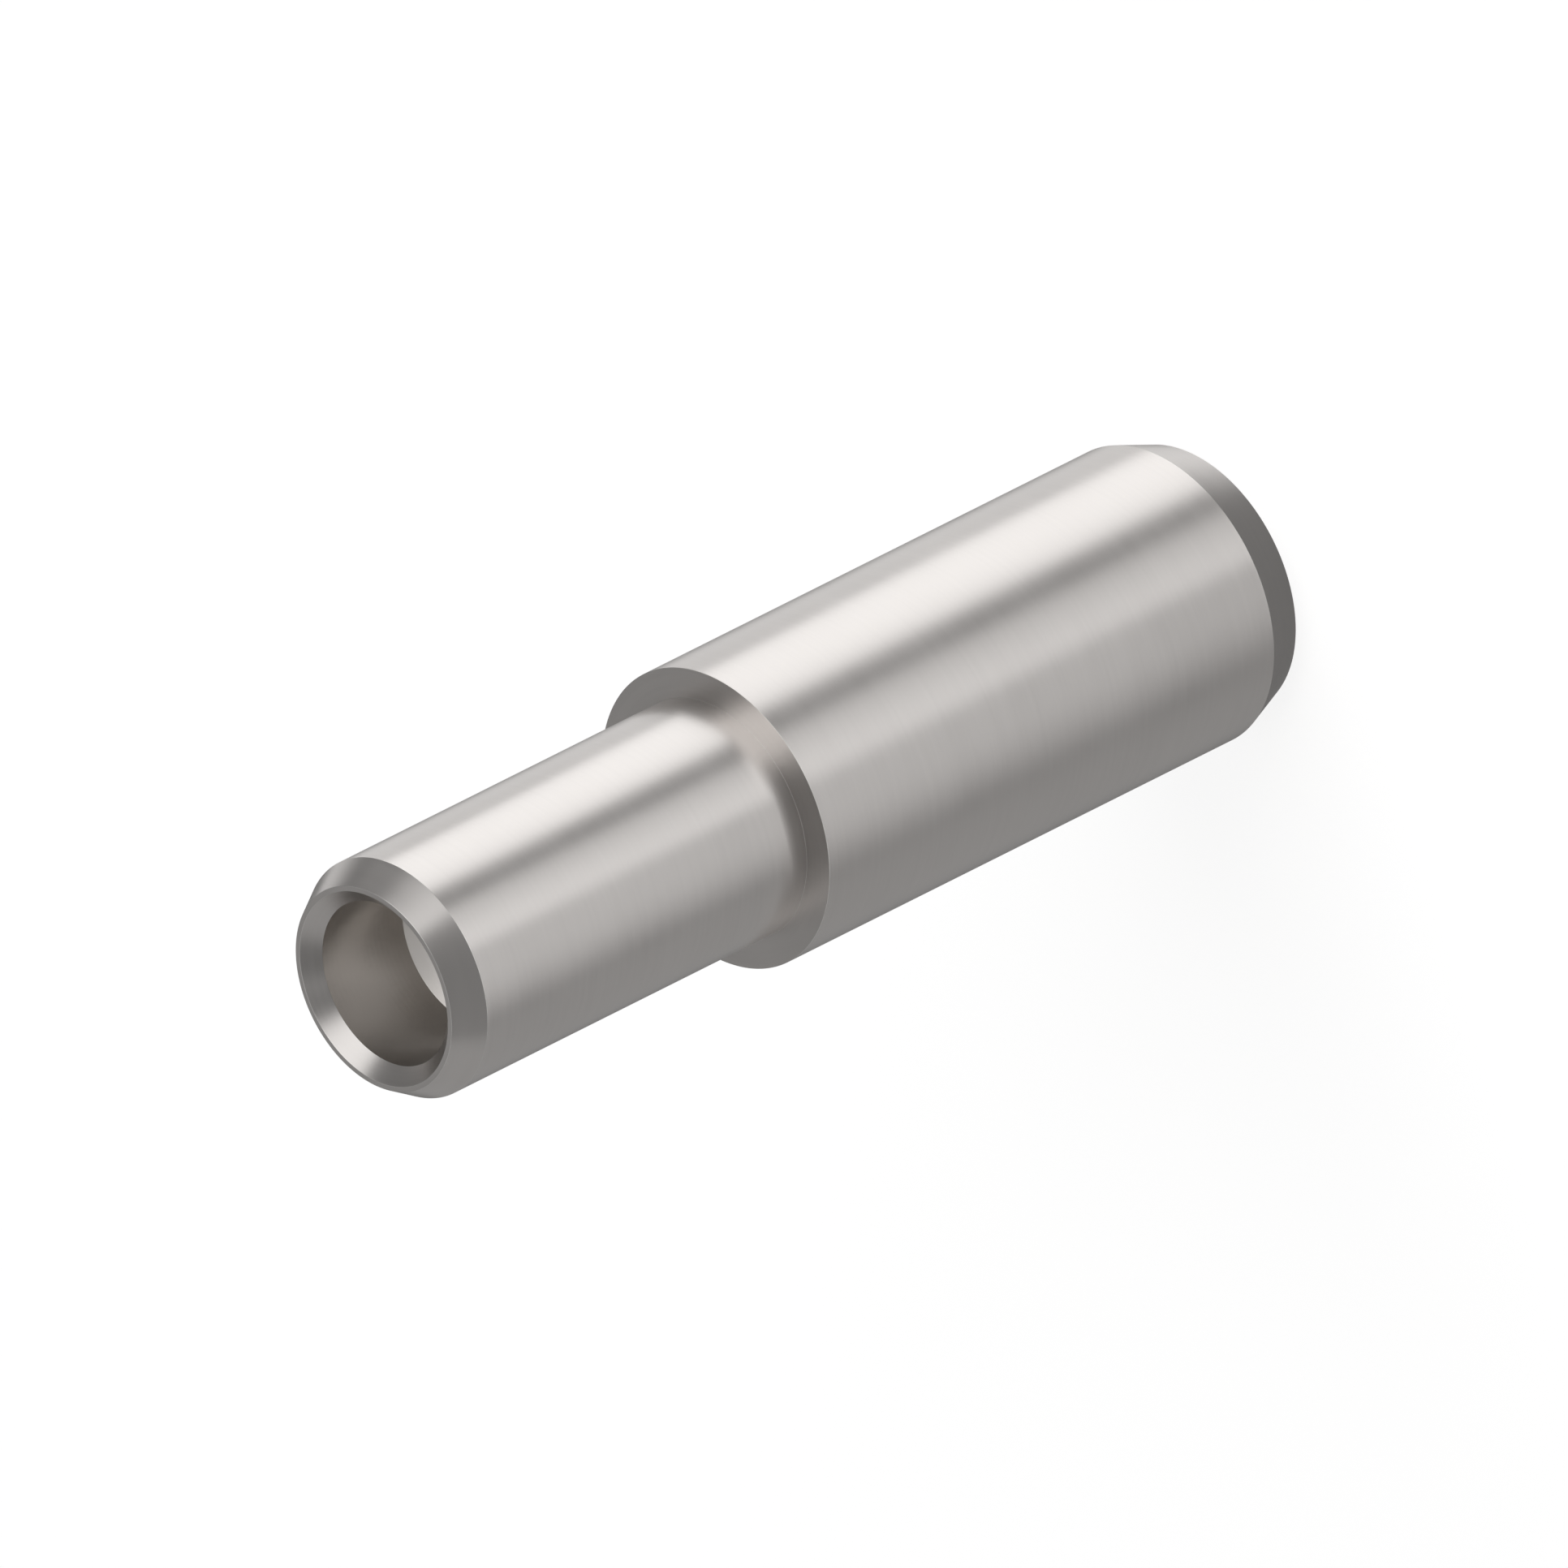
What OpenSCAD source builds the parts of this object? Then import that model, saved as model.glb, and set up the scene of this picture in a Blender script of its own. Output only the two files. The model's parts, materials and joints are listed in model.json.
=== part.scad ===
// Differential lock pin: one turned steel pin in two diameters.
// It stands on its large end, +Z runs up the axis, and the origin is the centre of that end face.

/* [Shank] */
// Diameter of the shank, the large end of the pin
shank_d = 20; // [17:0.5:30]
// Length of the shank, from the large end face to the shoulder
shank_len = 42; // [20:1:120]

/* [Shank lead-in] */
// Length of the chamfer round the large end, measured along the axis
shank_lead_len = 3; // [0.5:0.25:6]
// Angle of that chamfer to the axis
shank_lead_deg = 20; // [10:1:30]

/* [Nose] */
// Diameter of the nose, the small end of the pin
nose_d = 16; // [15.5:0.5:19]
// Length of the nose, from the shoulder to the small end face
nose_len = 30; // [16:1:80]

/* [Nose lead-in] */
// Length of the chamfer round the small end, measured along the axis
nose_lead_len = 2; // [0.5:0.25:2.5]
// Angle of that chamfer to the axis
nose_lead_deg = 30; // [10:1:36]

/* [End bore] */
// Diameter of the blind bore in the small end face
bore_d = 11; // [4:0.5:11.5]
// Depth of the bore's straight wall, measured from the small end face
bore_depth = 8; // [3:0.5:20]
// Full angle of the cone that the drill's point leaves at the bottom of the bore
drill_point_deg = 118; // [90:1:150]
// Width of the 45 degree countersink at the mouth of the bore
mouth_chamfer = 1; // [0.25:0.25:1.25]

/* [Hidden] */

// Smoothness of the turned surfaces
$fn = 144;
// How far the bore's cut runs past the end face that it opens
cut_past = 1;

shank_r = shank_d / 2;
nose_r = nose_d / 2;
bore_r = bore_d / 2;
pin_len = shank_len + nose_len;

// Radius left on each end face by the chamfer round it
shank_face_r = shank_r - shank_lead_len * tan(shank_lead_deg);
nose_face_r = nose_r - nose_lead_len * tan(nose_lead_deg);

// Height at which the bore's straight wall ends, and the depth of the drilled cone below it
bore_floor_z = pin_len - bore_depth;
drill_point_len = bore_r / tan(drill_point_deg / 2);

// Half of the bar's outline, from the axis out to the turned surface, with a square shoulder
module blank_outline() {
    polygon([
        [0, 0],
        [shank_face_r, 0],
        [shank_r, shank_lead_len],
        [shank_r, shank_len],
        [nose_r, shank_len],
        [nose_r, pin_len - nose_lead_len],
        [nose_face_r, pin_len],
        [0, pin_len],
    ]);
}

// Half of the bore's outline: the drilled cone, a straight wall and the flared mouth
module bore_outline() {
    polygon([
        [0, bore_floor_z - drill_point_len],
        [bore_r, bore_floor_z],
        [bore_r, pin_len - mouth_chamfer],
        [bore_r + mouth_chamfer + cut_past, pin_len + cut_past],
        [0, pin_len + cut_past],
    ]);
}

// The whole pin, turned from one bar
module lock_pin() {
    color("silver")
        rotate_extrude()
            difference() {
                blank_outline();
                bore_outline();
            }
}

lock_pin();
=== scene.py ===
import json
import math

import bpy
from mathutils import Matrix, Vector


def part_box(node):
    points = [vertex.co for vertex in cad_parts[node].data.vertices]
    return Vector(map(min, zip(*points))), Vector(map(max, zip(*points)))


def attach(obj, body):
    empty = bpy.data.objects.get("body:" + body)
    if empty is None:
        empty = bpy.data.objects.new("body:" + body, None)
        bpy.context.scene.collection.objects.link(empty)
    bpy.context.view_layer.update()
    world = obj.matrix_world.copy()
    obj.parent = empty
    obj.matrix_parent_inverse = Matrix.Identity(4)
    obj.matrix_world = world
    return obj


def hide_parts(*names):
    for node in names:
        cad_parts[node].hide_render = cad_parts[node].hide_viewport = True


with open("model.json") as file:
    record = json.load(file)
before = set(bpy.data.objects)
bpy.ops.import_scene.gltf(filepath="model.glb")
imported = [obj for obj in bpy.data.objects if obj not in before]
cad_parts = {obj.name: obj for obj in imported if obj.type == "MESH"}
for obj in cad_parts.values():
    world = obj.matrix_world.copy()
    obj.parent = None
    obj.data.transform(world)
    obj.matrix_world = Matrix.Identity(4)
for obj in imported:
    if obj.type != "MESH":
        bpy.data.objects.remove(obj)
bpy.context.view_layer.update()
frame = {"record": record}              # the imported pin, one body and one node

print("frame loaded")

mm = 0.001                     # one millimetre in Blender's metres


def linearColour(hexColour):   # "#RRGGBB" as an artist picks it, by the sRGB curve to linear RGBA
    channels = []
    for start in (1, 3, 5):
        level = int(hexColour[start:start + 2], 16) / 255
        channels.append(level / 12.92 if level <= 0.04045 else ((level + 0.055) / 1.055) ** 2.4)
    return (*channels, 1.0)


def addNode(tree, kind, inputs=None, **settings):   # inputs take a value or another node's socket
    node = tree.nodes.new(kind)
    for name, value in settings.items():
        setattr(node, name, value)
    for key, value in (inputs or {}).items():
        if isinstance(value, bpy.types.NodeSocket):
            tree.links.new(value, node.inputs[key])
        else:
            node.inputs[key].default_value = value
    return node


# the camera first: it looks along the view of the photograph, where the pin lies level
cameraSetup = {
    "turnDegrees": 45,         # the pin's axis is turned this far from the line of sight
    "heightDegrees": 30,       # and the eye is this far above the level pin
    "pictureWidth": 97.28,     # mm of the pin's plane that fill the square picture
    "distance": 500,           # mm, only keeps the camera clear of the pin in a parallel view
}


def addCamera(target):
    height = math.radians(cameraSetup["heightDegrees"])
    alongAxis = math.cos(height) * math.cos(math.radians(cameraSetup["turnDegrees"]))
    acrossAxis = math.sqrt(1 - alongAxis ** 2)
    towardsEye = Vector((0, -acrossAxis, alongAxis))
    upTilt = math.sin(height) / acrossAxis
    pictureUp = Vector((math.sqrt(1 - upTilt ** 2), -upTilt, 0))      # up for the pin as it lies
    right = pictureUp.cross(towardsEye).normalized()
    data = bpy.data.cameras.new("productCamera")
    data.type = "ORTHO"
    data.ortho_scale = cameraSetup["pictureWidth"] * mm
    camera = bpy.data.objects.new("productCamera", data)
    bpy.context.scene.collection.objects.link(camera)
    turn = Matrix((right, towardsEye.cross(right), towardsEye)).transposed().to_4x4()
    place = target + towardsEye * cameraSetup["distance"] * mm
    camera.matrix_world = Matrix.Translation(place) @ turn
    bpy.context.scene.camera = camera


lowCorner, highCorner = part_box("lock_pin")
pinMiddle = (lowCorner + highCorner) / 2
addCamera(pinMiddle)
print("camera placed")


# steel finishes
turnedFinish = {
    "colour": "#E3DFDC",       # faintly warm bright grey
    "darkColour": "#DFDBD8",   # where the finish is a shade duller
    "wornColour": "#EAE7E4",   # edges that handling has rubbed bright
    "roughness": 0.3,          # satin: the lamps show as soft bands
    "roughnessSpread": 0.015,
    "wornRoughness": 0.28,
    "ringSpacing": 0.3,        # mm; the real cut's 0.1 mm is too fine to show, so drawn coarser
    "ringHeight": 0.00006,     # mm from crest to trough
    "ringDetail": 3.0,         # finer rings inside the rings
    "hoopLength": 7.0,         # mm round the pin before a ring changes its tone
    "cloudSize": 9.0,          # mm across one patch of the slow change in tone
    "cloudDetail": 2.0,
    "noiseLow": 0.7,           # the two noises together lie between these
    "noiseHigh": 1.3,
}
drilledFinish = {
    "colour": "#E1DDD9",
    "darkColour": "#D9D5D1",
    "roughness": 0.36,         # a drill leaves its wall duller than the turned outside
    "roughnessSpread": 0.03,   # no patch comes under 0.28, where the denoiser draws specks
    "feedPitch": 0.4,          # mm a turn; a drill feeds 0.15 mm, drawn coarser to show
    "feedHeight": 0.0004,      # mm
    "cloudSize": 4.0,          # mm
    "cloudDetail": 3.0,
    "noiseLow": 0.3,
    "noiseHigh": 0.7,
}


def positionParts(tree):       # object position, its height and its distance from the axis
    place = addNode(tree, "ShaderNodeTexCoord").outputs["Object"]
    parts = addNode(tree, "ShaderNodeSeparateXYZ", {0: place})
    flat = addNode(tree, "ShaderNodeCombineXYZ", {0: parts.outputs[0], 1: parts.outputs[1]})
    radius = addNode(tree, "ShaderNodeVectorMath", {0: flat.outputs[0]}, operation="LENGTH")
    return place, parts, radius.outputs["Value"]


def steelShader(tree, height, heightSize, tone, gloss):
    shader = tree.nodes["Principled BSDF"]
    shader.inputs["Metallic"].default_value = 1.0
    tree.links.new(tone, shader.inputs["Base Color"])
    tree.links.new(gloss, shader.inputs["Roughness"])
    bump = addNode(tree, "ShaderNodeBump", {"Height": height, "Distance": heightSize * mm})
    tree.links.new(bump.outputs[0], shader.inputs["Normal"])


def makeTurnedSteel():
    # Fine-turned and ground alloy steel: soft bands of light along the pin, hoops too fine to
    # count, and a rubbed bright line on each edge. It stays smooth from a step away.
    look = turnedFinish
    material = bpy.data.materials.new("fineTurnedSteel")
    material.use_nodes = True
    tree = material.node_tree
    place, parts, radius = positionParts(tree)
    lay = addNode(tree, "ShaderNodeMath", {0: parts.outputs[2], 1: radius}, operation="ADD")
    hoopPlace = addNode(tree, "ShaderNodeCombineXYZ", {
        0: parts.outputs[0],
        1: parts.outputs[1],
        2: lay.outputs[0],
    })
    hoopScale = (1 / (look["hoopLength"] * mm),) * 2 + (1 / (look["ringSpacing"] * mm),)
    hoops = addNode(tree, "ShaderNodeMapping", {"Vector": hoopPlace.outputs[0], "Scale": hoopScale})
    rings = addNode(tree, "ShaderNodeTexNoise", {
        "Vector": hoops.outputs[0],
        "Scale": 1.0,          # the Mapping node above has sized it
        "Detail": look["ringDetail"],
    })
    cloud = addNode(tree, "ShaderNodeTexNoise", {
        "Vector": place,
        "Scale": 1 / (look["cloudSize"] * mm),
        "Detail": look["cloudDetail"],
    })
    patch = addNode(tree, "ShaderNodeMath", {0: rings.outputs[0], 1: cloud.outputs[0]}, operation="ADD")
    spread = addNode(tree, "ShaderNodeMapRange", {
        "Value": patch.outputs[0],
        "From Min": look["noiseLow"],
        "From Max": look["noiseHigh"],
    })
    tone = addNode(tree, "ShaderNodeMix", {
        "Factor": spread.outputs[0],
        6: linearColour(look["darkColour"]),
        7: linearColour(look["colour"]),
    }, data_type="RGBA")
    gloss = addNode(tree, "ShaderNodeMapRange", {
        "Value": spread.outputs[0],
        "To Min": look["roughness"] - look["roughnessSpread"],
        "To Max": look["roughness"] + look["roughnessSpread"],
    })
    wear = addNode(tree, "ShaderNodeAttribute", attribute_name="edgeWear")
    wornTone = addNode(tree, "ShaderNodeMix", {
        "Factor": wear.outputs["Fac"],
        6: tone.outputs[2],
        7: linearColour(look["wornColour"]),
    }, data_type="RGBA")
    wornGloss = addNode(tree, "ShaderNodeMix", {
        "Factor": wear.outputs["Fac"],
        2: gloss.outputs[0],
        3: look["wornRoughness"],
    })
    steelShader(tree, rings.outputs[0], look["ringHeight"], wornTone.outputs[2], wornGloss.outputs[0])
    return material


def makeDrilledSteel():
    # The same steel as a twist drill leaves it: a shade duller, with a fine feed spiral in it
    look = drilledFinish
    material = bpy.data.materials.new("drilledSteel")
    material.use_nodes = True
    tree = material.node_tree
    place, parts, radius = positionParts(tree)
    lay = addNode(tree, "ShaderNodeMath", {0: parts.outputs[2], 1: radius}, operation="ADD")
    angle = addNode(tree, "ShaderNodeMath", {
        0: parts.outputs[1],
        1: parts.outputs[0],
    }, operation="ARCTAN2")
    feed = addNode(tree, "ShaderNodeMath", {
        0: lay.outputs[0],
        1: 2 * math.pi / (look["feedPitch"] * mm),
        2: angle.outputs[0],
    }, operation="MULTIPLY_ADD")
    spiral = addNode(tree, "ShaderNodeMath", {0: feed.outputs[0]}, operation="SINE")
    cloud = addNode(tree, "ShaderNodeTexNoise", {
        "Vector": place,
        "Scale": 1 / (look["cloudSize"] * mm),
        "Detail": look["cloudDetail"],
    })
    tone = addNode(tree, "ShaderNodeMix", {
        "Factor": cloud.outputs[0],
        6: linearColour(look["darkColour"]),
        7: linearColour(look["colour"]),
    }, data_type="RGBA")
    gloss = addNode(tree, "ShaderNodeMapRange", {
        "Value": cloud.outputs[0],
        "From Min": look["noiseLow"],
        "From Max": look["noiseHigh"],
        "To Min": look["roughness"] - look["roughnessSpread"],
        "To Max": look["roughness"] + look["roughnessSpread"],
    })
    steelShader(tree, spiral.outputs[0], look["feedHeight"], tone.outputs[2], gloss.outputs[0])
    return material


turnedSteel = makeTurnedSteel()
drilledSteel = makeDrilledSteel()
print("steel finishes made")


# the lathe: a Geometry Nodes tree that rounds an outline's corners and turns it about Z
def makeLatheTree():
    tree = bpy.data.node_groups.new("lathe", "GeometryNodeTree")
    sockets = (                # lengths in metres; what lies closer than the weld distance is joined
        ("Outline", "INPUT", "NodeSocketGeometry", None),
        ("Segments", "INPUT", "NodeSocketInt", 64),
        ("Round Steps", "INPUT", "NodeSocketInt", 4),
        ("Path Radius", "INPUT", "NodeSocketFloat", 0.01),
        ("Weld Distance", "INPUT", "NodeSocketFloat", 0.000001),
        ("Finish", "INPUT", "NodeSocketMaterial", None),
        ("Bore Finish", "INPUT", "NodeSocketMaterial", None),
        ("Turned", "OUTPUT", "NodeSocketGeometry", None),
    )
    for name, direction, kind, value in sockets:
        socket = tree.interface.new_socket(name, in_out=direction, socket_type=kind)
        if value is not None:
            socket.default_value = value
    given = addNode(tree, "NodeGroupInput").outputs
    outline = addNode(tree, "GeometryNodeMeshToCurve", {"Mesh": given["Outline"]})
    rounding = addNode(tree, "GeometryNodeInputNamedAttribute", {"Name": "cornerRound"})
    rounded = addNode(tree, "GeometryNodeFilletCurve", {
        "Curve": outline.outputs[0],
        "Count": given["Round Steps"],
        "Radius": rounding.outputs[0],
    }, mode="POLY")
    place = addNode(tree, "GeometryNodeInputPosition")
    parts = addNode(tree, "ShaderNodeSeparateXYZ", {0: place.outputs[0]})
    fromPath = addNode(tree, "ShaderNodeMath", {
        0: parts.outputs[0],
        1: given["Path Radius"],
    }, operation="SUBTRACT")
    drop = addNode(tree, "ShaderNodeMath", {0: parts.outputs[2], 1: -1.0}, operation="MULTIPLY")
    acrossPath = addNode(tree, "ShaderNodeCombineXYZ", {0: fromPath.outputs[0], 1: drop.outputs[0]})
    section = addNode(tree, "GeometryNodeSetPosition", {
        "Geometry": rounded.outputs[0],
        "Position": acrossPath.outputs[0],
    })
    circle = addNode(tree, "GeometryNodeCurvePrimitiveCircle", {
        "Resolution": given["Segments"],
        "Radius": given["Path Radius"],
    })
    path = addNode(tree, "GeometryNodeSetCurveNormal", {"Curve": circle.outputs[0]}, mode="Z_UP")
    turned = addNode(tree, "GeometryNodeCurveToMesh", {
        "Curve": path.outputs[0],
        "Profile Curve": section.outputs[0],
    })
    welded = addNode(tree, "GeometryNodeMergeByDistance", {
        "Geometry": turned.outputs[0],
        "Distance": given["Weld Distance"],
    })
    outwards = addNode(tree, "GeometryNodeFlipFaces", {"Mesh": welded.outputs[0]})
    smooth = addNode(tree, "GeometryNodeSetShadeSmooth", {"Geometry": outwards.outputs[0]})
    whole = addNode(tree, "GeometryNodeRealizeInstances", {"Geometry": smooth.outputs[0]})
    outside = addNode(tree, "GeometryNodeSetMaterial", {
        "Geometry": whole.outputs[0],
        "Material": given["Finish"],
    })
    inBore = addNode(tree, "GeometryNodeInputNamedAttribute", {"Name": "inBore"}, data_type="BOOLEAN")
    finished = addNode(tree, "GeometryNodeSetMaterial", {
        "Geometry": outside.outputs[0],
        "Selection": inBore.outputs[0],
        "Material": given["Bore Finish"],
    })
    addNode(tree, "NodeGroupOutput", {"Turned": finished.outputs[0]})
    return tree


def turnOnLathe(name, corners, inputs):
    # corners hold radius, height, rounding, edge wear and bore flag; the result is a plain mesh
    outline = bpy.data.meshes.new(name + "Outline")
    places = [(corner["radius"], 0, corner["height"]) for corner in corners]
    edges = [(index, index + 1) for index in range(len(corners) - 1)]
    outline.from_pydata(places, edges, [])
    for key, kind in (("cornerRound", "FLOAT"), ("edgeWear", "FLOAT"), ("inBore", "BOOLEAN")):
        attribute = outline.attributes.new(key, kind, "POINT")
        for index, corner in enumerate(corners):
            attribute.data[index].value = corner.get(key, 0)
    blank = bpy.data.objects.new(name + "Blank", outline)
    bpy.context.scene.collection.objects.link(blank)
    modifier = blank.modifiers.new("lathe", "NODES")
    modifier.node_group = latheTree
    for item in latheTree.interface.items_tree:
        if item.in_out == "INPUT" and item.name in inputs:
            modifier[item.identifier] = inputs[item.name]
    evaluated = blank.evaluated_get(bpy.context.evaluated_depsgraph_get())
    mesh = bpy.data.meshes.new_from_object(evaluated)
    mesh.name = name
    blank.modifiers.remove(modifier)
    bpy.data.objects.remove(blank)
    bpy.data.meshes.remove(outline)
    piece = bpy.data.objects.new(name, mesh)
    bpy.context.scene.collection.objects.link(piece)
    return piece


latheTree = makeLatheTree()
print("lathe tree built")


# the pin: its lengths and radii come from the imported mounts, and these are the shop's own details
pinDetails = {
    "shankLeadAngle": 20,      # degrees to the axis, chamfer round the large end
    "noseLeadAngle": 30,       # degrees to the axis, chamfer round the small end
    "drillPointAngle": 118,    # degrees, full angle of the cone at the bottom of the bore
    "edgeBreak": 0.02,         # mm, radius left on each outer edge when it is deburred
    "rootRound": 0.02,         # mm, the shoulder and the bore are cut with a pointed tool
    "tipSoftness": 0.2,        # mm, only this near the cone's tip is the shading soft
    "holdShare": 1.5,          # of a corner's radius, to the points that keep the long faces flat
    "segments": 288,
    "roundSteps": 4,
}


def pinSizes():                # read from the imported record, in metres
    mounts = {mount["name"]: mount for mount in frame["record"]["mounts"]}
    sizes = {}
    for name in ("shank", "nose", "end_bore"):
        mount = mounts[name]
        half = mount["dims"]["length_mm"] * mm / 2
        middle = mount["pos_m"][2]
        sizes[name] = {
            "radius": mount["dims"]["r_mm"] * mm,
            "low": middle - half,
            "high": middle + half,
        }
    return sizes


def holdPoint(corner, other):  # a plain point beside a corner, on the line to the next one
    here = Vector((corner["radius"], corner["height"]))
    there = Vector((other["radius"], other["height"]))
    reach = corner["cornerRound"] * pinDetails["holdShare"]
    spot = here + (there - here).normalized() * reach
    bothInBore = corner.get("inBore", 0) and other.get("inBore", 0)
    return {"radius": spot.x, "height": spot.y, "inBore": bothInBore}


def withHoldPoints(corners):   # the flat face's middle needs none, the drilled cone's tip does
    points = [corners[0]]
    for before, corner, after in zip(corners, corners[1:], corners[2:]):
        points += [holdPoint(corner, before), corner, holdPoint(corner, after)]
    return points + [holdPoint(corners[-1], corners[-2]), corners[-1]]


def makePin():
    sizes = pinSizes()
    shank, nose, bore = sizes["shank"], sizes["nose"], sizes["end_bore"]
    foot, top = lowCorner.z, highCorner.z
    shankTaper = math.tan(math.radians(pinDetails["shankLeadAngle"]))
    noseTaper = math.tan(math.radians(pinDetails["noseLeadAngle"]))
    mouth = bore["radius"] + (top - bore["high"])                     # 45 degree countersink
    tip = bore["low"] - bore["radius"] / math.tan(math.radians(pinDetails["drillPointAngle"] / 2))
    broken = {"cornerRound": pinDetails["edgeBreak"] * mm, "edgeWear": 1.0}
    inner = {"cornerRound": pinDetails["rootRound"] * mm}
    corners = [
        {"radius": 0, "height": foot},
        {"radius": shank["radius"] - (shank["low"] - foot) * shankTaper, "height": foot, **broken},
        {"radius": shank["radius"], "height": shank["low"], **broken},
        {"radius": shank["radius"], "height": shank["high"], **broken},
        {"radius": nose["radius"], "height": shank["high"], **inner},
        {"radius": nose["radius"], "height": nose["high"], **broken},
        {"radius": nose["radius"] - (top - nose["high"]) * noseTaper, "height": top, **broken},
        {"radius": mouth, "height": top, **broken},
        {"radius": bore["radius"], "height": bore["high"], "inBore": 1, **broken},
        {"radius": bore["radius"], "height": bore["low"], "inBore": 1, **inner},
        {"radius": 0, "height": tip, "inBore": 1, "cornerRound": pinDetails["tipSoftness"] * mm},
    ]
    return turnOnLathe("turnedPin", withHoldPoints(corners), {
        "Segments": pinDetails["segments"],
        "Round Steps": pinDetails["roundSteps"],
        "Path Radius": shank["radius"],
        "Finish": turnedSteel,
        "Bore Finish": drilledSteel,
    })


turnedPin = makePin()
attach(turnedPin, "root")
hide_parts("lock_pin")
print("pin turned:", len(turnedPin.data.polygons), "faces")


# the table and the wall round it, one pale sweep
sweepSetup = {
    "tableRadius": 1900,       # mm
    "wallHeight": 1900,        # mm
    "bend": 600,               # mm, radius where the table runs up into the wall
    "colour": "#FFFFFF",
    "glow": 0.78,              # light that the white board gives by itself
    "paper": "#C4C4C4",        # its matt face, which takes the pin's shadow
    "mirrored": 0.12,          # how much of it the steel mirrors; the lower lamps shine through
    "segments": 96,
    "bendSteps": 16,
}


def makeSweepMaterial():
    # White acrylic of a light table, matt: it looks evenly white, takes a faint shadow, and in
    # the steel it is a light grey that the lamps below shine through
    material = bpy.data.materials.new("lightTableAcrylic")
    material.use_nodes = True
    tree = material.node_tree
    tree.nodes.clear()
    ray = addNode(tree, "ShaderNodeLightPath").outputs
    mirrored = addNode(tree, "ShaderNodeMath", {
        0: ray["Is Glossy Ray"],
        1: sweepSetup["mirrored"],
        2: ray["Is Camera Ray"],
    }, operation="MULTIPLY_ADD")
    seen = addNode(tree, "ShaderNodeMath", {
        0: mirrored.outputs[0],
        1: ray["Is Transmission Ray"],
    }, operation="ADD", use_clamp=True)
    glow = addNode(tree, "ShaderNodeEmission", {
        "Color": linearColour(sweepSetup["colour"]),
        "Strength": sweepSetup["glow"],
    })
    paper = addNode(tree, "ShaderNodeBsdfDiffuse", {"Color": linearColour(sweepSetup["paper"])})
    board = addNode(tree, "ShaderNodeAddShader", {0: glow.outputs[0], 1: paper.outputs[0]})
    clear = addNode(tree, "ShaderNodeBsdfTransparent")
    mixed = addNode(tree, "ShaderNodeMixShader", {
        "Fac": seen.outputs[0],
        1: clear.outputs[0],
        2: board.outputs[0],
    })
    addNode(tree, "ShaderNodeOutputMaterial", {"Surface": mixed.outputs[0]})
    material.cycles.emission_sampling = "NONE"    # its glow is for the eye, the lamps do the lighting
    return material


def makeSweep():
    radius = sweepSetup["tableRadius"] * mm
    corners = [                # from the top of the wall to the middle of the table, so it faces the pin
        {"radius": radius, "height": sweepSetup["wallHeight"] * mm},
        {"radius": radius, "height": lowCorner.z, "cornerRound": sweepSetup["bend"] * mm},
        {"radius": 0, "height": lowCorner.z},
    ]
    board = makeSweepMaterial()
    sweep = turnOnLathe("studioSweep", corners, {
        "Segments": sweepSetup["segments"],
        "Round Steps": sweepSetup["bendSteps"],
        "Path Radius": radius,
        "Finish": board,
        "Bore Finish": board,
    })
    sweep.visible_shadow = False             # it casts none, so the lower lamps reach the pin
    return sweep


makeSweep()
print("sweep placed")


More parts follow.
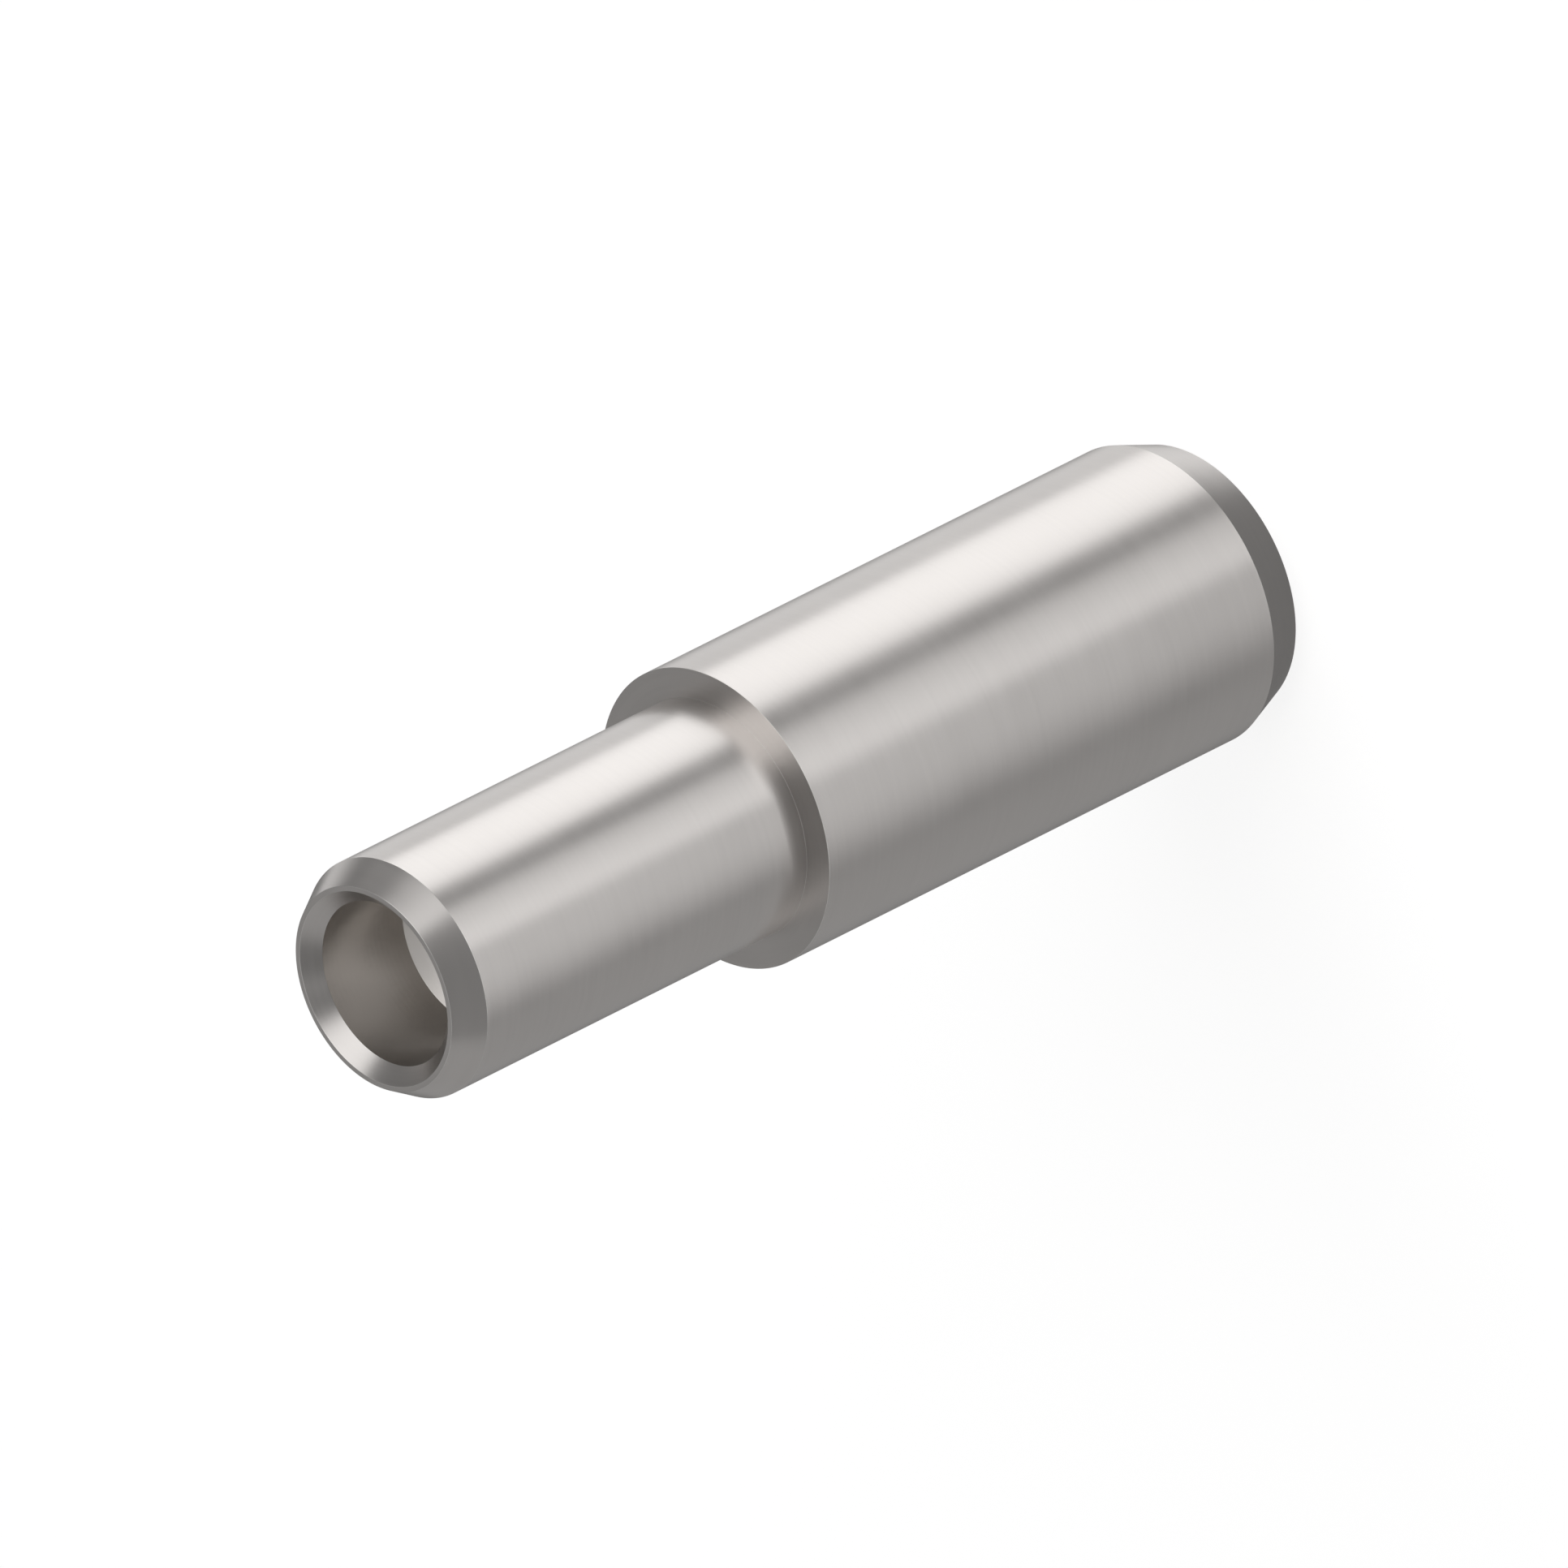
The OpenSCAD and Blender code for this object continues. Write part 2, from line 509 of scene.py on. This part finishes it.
# soft boxes round the pin, each named by where it stands: angles in degrees, sizes in mm
softBoxes = {
    "upperRight": {"azimuth": 53, "elevation": 43, "width": 1400, "height": 1400, "level": 0.98},
    "lowerRight": {"azimuth": 85, "elevation": -31, "width": 1300, "height": 1550, "level": 1.2},
    "lowerFront": {"azimuth": 14, "elevation": -19, "width": 950, "height": 1250, "level": 0.8},
    "lowerLeft": {"azimuth": -30, "elevation": -17, "width": 3000, "height": 1100, "level": 0.88},
    "lowerBack": {"azimuth": 138, "elevation": -41, "width": 800, "height": 1850, "level": 0.64},
    "farLeft": {"azimuth": -120, "elevation": -3, "width": 2400, "height": 2550, "level": 0.17},
    "overhead": {"azimuth": 192, "elevation": 81, "width": 2200, "height": 2150, "level": 0.53},
}
studio = {
    "boxDistance": 1500,       # mm from the pin's middle to each soft box
    "worldColour": "#FFFFFF",
    "worldLevel": 0.06,        # the room's own even grey, as light and in the steel
    "seenLevel": 1.0,          # and plain white to an eye that looks past the table
}


def addSoftBox(name, box):     # azimuth runs from -Y towards +X, level is how bright its face looks
    azimuth, elevation = math.radians(box["azimuth"]), math.radians(box["elevation"])
    away = Vector((
        math.sin(azimuth) * math.cos(elevation),
        -math.cos(azimuth) * math.cos(elevation),
        math.sin(elevation),
    ))
    data = bpy.data.lights.new(name + "SoftBox", "AREA")
    data.shape = "RECTANGLE"
    data.size = box["width"] * mm
    data.size_y = box["height"] * mm
    data.energy = box["level"] * math.pi * data.size * data.size_y     # watts for that brightness
    lamp = bpy.data.objects.new(name + "SoftBox", data)
    bpy.context.scene.collection.objects.link(lamp)
    lamp.location = pinMiddle + away * studio["boxDistance"] * mm
    lamp.rotation_euler = away.to_track_quat("Z", "Y").to_euler()
    lamp.visible_camera = False


for boxName, boxSetup in softBoxes.items():
    addSoftBox(boxName, boxSetup)

world = bpy.data.worlds.new("studioRoom")
world.use_nodes = True
room = world.node_tree
roomRay = addNode(room, "ShaderNodeLightPath").outputs
roomSeen = addNode(room, "ShaderNodeMath", {
    0: roomRay["Is Camera Ray"],
    1: roomRay["Is Transmission Ray"],
}, operation="ADD", use_clamp=True)
roomLevel = addNode(room, "ShaderNodeMapRange", {
    "Value": roomSeen.outputs[0],
    "To Min": studio["worldLevel"],
    "To Max": studio["seenLevel"],
})
roomLight = room.nodes["Background"]
roomLight.inputs["Color"].default_value = linearColour(studio["worldColour"])
room.links.new(roomLevel.outputs[0], roomLight.inputs["Strength"])
bpy.context.scene.world = world
bpy.context.scene.view_settings.view_transform = "Standard"
print("studio lit")
